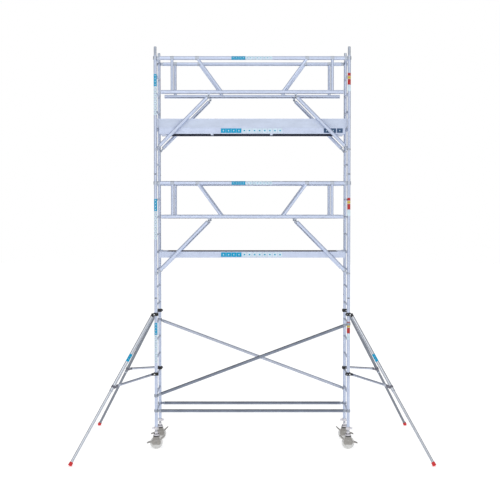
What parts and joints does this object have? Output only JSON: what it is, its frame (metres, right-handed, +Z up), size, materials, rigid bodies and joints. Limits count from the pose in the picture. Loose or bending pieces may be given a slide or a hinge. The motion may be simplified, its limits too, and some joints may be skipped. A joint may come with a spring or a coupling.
{
  "type": "mobile tower scaffold",
  "caption": "Narrow mobile tower scaffold: ladder frames on braked castors, two hatch decks with guardrails and toe boards, base braces and telescopic stabilisers.",
  "frame": {"origin": "on the floor under the centre of the tower", "axes": "+X along the bay to the right, +Z up; the front face looks along -Y"},
  "size_m": [5.4642, 3.1142, 6.365],
  "materials": {
    "aluminium": "satin mill aluminium tube",
    "brace_tube": "dull drawn aluminium tube, darker than the frames",
    "zinc_steel": "zinc-plated steel",
    "castor_steel": "warm grey pressed steel",
    "wheel_nylon": "off-white cast nylon",
    "plywood": "dark brown phenolic film with a fine anti-slip mesh",
    "toe_board": "light grey film-faced board",
    "black_clamp": "black powder coat",
    "foot_rubber": "red moulded rubber",
    "label_film": "plain coloured film bands with no lettering"
  },
  "bodies": {
    "tower": {"left_base_frame": "aluminium", "left_middle_frame": "aluminium", "left_top_frame": "aluminium", "right_base_frame": "aluminium", "right_middle_frame": "aluminium", "right_top_frame": "aluminium", "lower_deck_frame": "aluminium", "lower_deck_board": "plywood", "upper_deck_frame": "aluminium", "upper_deck_board": "plywood", "front_toe_board": "toe_board", "rear_toe_board": "toe_board", "left_toe_board": "toe_board", "right_toe_board": "toe_board", "lower_front_guardrail": "aluminium", "lower_rear_guardrail": "aluminium", "upper_front_guardrail": "aluminium", "upper_rear_guardrail": "aluminium", "front_horizontal_brace": "brace_tube", "front_diagonal_brace": "brace_tube", "rear_horizontal_brace": "brace_tube", "rear_diagonal_brace": "brace_tube"},
    "front_left_spindle": {"front_left_spindle": "zinc_steel"},
    "front_left_castor_fork": {"front_left_castor_fork": "castor_steel"},
    "front_left_castor_wheel": {"front_left_castor_wheel": "wheel_nylon"},
    "front_left_castor_brake": {"front_left_castor_brake": "castor_steel"},
    "front_left_stabiliser": {"front_left_stabiliser_outer_tube": "aluminium", "front_left_stabiliser_brace": "brace_tube"},
    "front_left_stabiliser_leg": {"front_left_stabiliser_inner_tube": "aluminium"},
    "front_right_spindle": {"front_right_spindle": "zinc_steel"},
    "front_right_castor_fork": {"front_right_castor_fork": "castor_steel"},
    "front_right_castor_wheel": {"front_right_castor_wheel": "wheel_nylon"},
    "front_right_castor_brake": {"front_right_castor_brake": "castor_steel"},
    "front_right_stabiliser": {"front_right_stabiliser_outer_tube": "aluminium", "front_right_stabiliser_brace": "brace_tube"},
    "front_right_stabiliser_leg": {"front_right_stabiliser_inner_tube": "aluminium"},
    "rear_left_spindle": {"rear_left_spindle": "zinc_steel"},
    "rear_left_castor_fork": {"rear_left_castor_fork": "castor_steel"},
    "rear_left_castor_wheel": {"rear_left_castor_wheel": "wheel_nylon"},
    "rear_left_castor_brake": {"rear_left_castor_brake": "castor_steel"},
    "rear_left_stabiliser": {"rear_left_stabiliser_outer_tube": "aluminium", "rear_left_stabiliser_brace": "brace_tube"},
    "rear_left_stabiliser_leg": {"rear_left_stabiliser_inner_tube": "aluminium"},
    "rear_right_spindle": {"rear_right_spindle": "zinc_steel"},
    "rear_right_castor_fork": {"rear_right_castor_fork": "castor_steel"},
    "rear_right_castor_wheel": {"rear_right_castor_wheel": "wheel_nylon"},
    "rear_right_castor_brake": {"rear_right_castor_brake": "castor_steel"},
    "rear_right_stabiliser": {"rear_right_stabiliser_outer_tube": "aluminium", "rear_right_stabiliser_brace": "brace_tube"},
    "rear_right_stabiliser_leg": {"rear_right_stabiliser_inner_tube": "aluminium"},
    "lower_hatch": {"lower_hatch": "plywood"},
    "lower_front_left_strut": {"lower_front_left_strut": "aluminium"},
    "lower_front_right_strut": {"lower_front_right_strut": "aluminium"},
    "lower_rear_left_strut": {"lower_rear_left_strut": "aluminium"},
    "lower_rear_right_strut": {"lower_rear_right_strut": "aluminium"},
    "upper_hatch": {"upper_hatch": "plywood"},
    "upper_front_left_strut": {"upper_front_left_strut": "aluminium"},
    "upper_front_right_strut": {"upper_front_right_strut": "aluminium"},
    "upper_rear_left_strut": {"upper_rear_left_strut": "aluminium"},
    "upper_rear_right_strut": {"upper_rear_right_strut": "aluminium"}
  },
  "joints": [
    {"name": "front_left_spindle_adjust", "type": "slide", "parent": "tower", "child": "front_left_spindle", "axis": [0, 0, -1], "range_m": [0, 0.2]},
    {"name": "front_left_castor_swivel", "type": "hinge", "parent": "front_left_spindle", "child": "front_left_castor_fork", "pos_m": [-1.525, -0.35, 0.24], "axis": [0, 0, 1], "continuous": true},
    {"name": "front_left_wheel_spin", "type": "hinge", "parent": "front_left_castor_fork", "child": "front_left_castor_wheel", "pos_m": [-1.525, -0.35, 0.1], "axis": [0, 1, 0], "continuous": true},
    {"name": "front_left_brake_release", "type": "hinge", "parent": "front_left_castor_fork", "child": "front_left_castor_brake", "pos_m": [-1.525, -0.35, 0.139], "axis": [0, 1, 0], "range_deg": [0, 44]},
    {"name": "front_left_stabiliser_swing", "type": "hinge", "parent": "tower", "child": "front_left_stabiliser", "pos_m": [-1.525, -0.35, 2.147], "axis": [0, 0, 1], "range_deg": [-45, 45]},
    {"name": "front_left_stabiliser_telescope", "type": "slide", "parent": "front_left_stabiliser", "child": "front_left_stabiliser_leg", "axis": [0.4252, 0.4252, 0.7991], "range_m": [0, 0.6]},
    {"name": "front_right_spindle_adjust", "type": "slide", "parent": "tower", "child": "front_right_spindle", "axis": [0, 0, -1], "range_m": [0, 0.2]},
    {"name": "front_right_castor_swivel", "type": "hinge", "parent": "front_right_spindle", "child": "front_right_castor_fork", "pos_m": [1.525, -0.35, 0.24], "axis": [0, 0, 1], "continuous": true},
    {"name": "front_right_wheel_spin", "type": "hinge", "parent": "front_right_castor_fork", "child": "front_right_castor_wheel", "pos_m": [1.525, -0.35, 0.1], "axis": [0, 1, 0], "continuous": true},
    {"name": "front_right_brake_release", "type": "hinge", "parent": "front_right_castor_fork", "child": "front_right_castor_brake", "pos_m": [1.525, -0.35, 0.139], "axis": [0, -1, 0], "range_deg": [0, 44]},
    {"name": "front_right_stabiliser_swing", "type": "hinge", "parent": "tower", "child": "front_right_stabiliser", "pos_m": [1.525, -0.35, 2.147], "axis": [0, 0, 1], "range_deg": [-45, 45]},
    {"name": "front_right_stabiliser_telescope", "type": "slide", "parent": "front_right_stabiliser", "child": "front_right_stabiliser_leg", "axis": [-0.4252, 0.4252, 0.7991], "range_m": [0, 0.6]},
    {"name": "rear_left_spindle_adjust", "type": "slide", "parent": "tower", "child": "rear_left_spindle", "axis": [0, 0, -1], "range_m": [0, 0.2]},
    {"name": "rear_left_castor_swivel", "type": "hinge", "parent": "rear_left_spindle", "child": "rear_left_castor_fork", "pos_m": [-1.525, 0.35, 0.24], "axis": [0, 0, 1], "continuous": true},
    {"name": "rear_left_wheel_spin", "type": "hinge", "parent": "rear_left_castor_fork", "child": "rear_left_castor_wheel", "pos_m": [-1.525, 0.35, 0.1], "axis": [0, 1, 0], "continuous": true},
    {"name": "rear_left_brake_release", "type": "hinge", "parent": "rear_left_castor_fork", "child": "rear_left_castor_brake", "pos_m": [-1.525, 0.35, 0.139], "axis": [0, 1, 0], "range_deg": [0, 44]},
    {"name": "rear_left_stabiliser_swing", "type": "hinge", "parent": "tower", "child": "rear_left_stabiliser", "pos_m": [-1.525, 0.35, 2.147], "axis": [0, 0, 1], "range_deg": [-45, 45]},
    {"name": "rear_left_stabiliser_telescope", "type": "slide", "parent": "rear_left_stabiliser", "child": "rear_left_stabiliser_leg", "axis": [0.4252, -0.4252, 0.7991], "range_m": [0, 0.6]},
    {"name": "rear_right_spindle_adjust", "type": "slide", "parent": "tower", "child": "rear_right_spindle", "axis": [0, 0, -1], "range_m": [0, 0.2]},
    {"name": "rear_right_castor_swivel", "type": "hinge", "parent": "rear_right_spindle", "child": "rear_right_castor_fork", "pos_m": [1.525, 0.35, 0.24], "axis": [0, 0, 1], "continuous": true},
    {"name": "rear_right_wheel_spin", "type": "hinge", "parent": "rear_right_castor_fork", "child": "rear_right_castor_wheel", "pos_m": [1.525, 0.35, 0.1], "axis": [0, 1, 0], "continuous": true},
    {"name": "rear_right_brake_release", "type": "hinge", "parent": "rear_right_castor_fork", "child": "rear_right_castor_brake", "pos_m": [1.525, 0.35, 0.139], "axis": [0, -1, 0], "range_deg": [0, 44]},
    {"name": "rear_right_stabiliser_swing", "type": "hinge", "parent": "tower", "child": "rear_right_stabiliser", "pos_m": [1.525, 0.35, 2.147], "axis": [0, 0, 1], "range_deg": [-45, 45]},
    {"name": "rear_right_stabiliser_telescope", "type": "slide", "parent": "rear_right_stabiliser", "child": "rear_right_stabiliser_leg", "axis": [-0.4252, -0.4252, 0.7991], "range_m": [0, 0.6]},
    {"name": "lower_hatch_hinge", "type": "hinge", "parent": "tower", "child": "lower_hatch", "pos_m": [1.00925, -0.2745, 3.13], "axis": [1, 0, 0], "range_deg": [0, 85]},
    {"name": "lower_front_left_strut_fold", "type": "hinge", "parent": "tower", "child": "lower_front_left_strut", "pos_m": [-0.685, -0.35, 3.634], "axis": [0, -1, 0], "range_deg": [0, 70]},
    {"name": "lower_front_right_strut_fold", "type": "hinge", "parent": "tower", "child": "lower_front_right_strut", "pos_m": [0.685, -0.35, 3.634], "axis": [0, 1, 0], "range_deg": [0, 70]},
    {"name": "lower_rear_left_strut_fold", "type": "hinge", "parent": "tower", "child": "lower_rear_left_strut", "pos_m": [-0.685, 0.35, 3.634], "axis": [0, -1, 0], "range_deg": [0, 70]},
    {"name": "lower_rear_right_strut_fold", "type": "hinge", "parent": "tower", "child": "lower_rear_right_strut", "pos_m": [0.685, 0.35, 3.634], "axis": [0, 1, 0], "range_deg": [0, 70]},
    {"name": "upper_hatch_hinge", "type": "hinge", "parent": "tower", "child": "upper_hatch", "pos_m": [-1.00925, 0.2745, 5.09], "axis": [-1, 0, 0], "range_deg": [0, 85]},
    {"name": "upper_front_left_strut_fold", "type": "hinge", "parent": "tower", "child": "upper_front_left_strut", "pos_m": [-0.685, -0.35, 5.594], "axis": [0, -1, 0], "range_deg": [0, 70]},
    {"name": "upper_front_right_strut_fold", "type": "hinge", "parent": "tower", "child": "upper_front_right_strut", "pos_m": [0.685, -0.35, 5.594], "axis": [0, 1, 0], "range_deg": [0, 70]},
    {"name": "upper_rear_left_strut_fold", "type": "hinge", "parent": "tower", "child": "upper_rear_left_strut", "pos_m": [-0.685, 0.35, 5.594], "axis": [0, -1, 0], "range_deg": [0, 70]},
    {"name": "upper_rear_right_strut_fold", "type": "hinge", "parent": "tower", "child": "upper_rear_right_strut", "pos_m": [0.685, 0.35, 5.594], "axis": [0, 1, 0], "range_deg": [0, 70]}
  ]
}
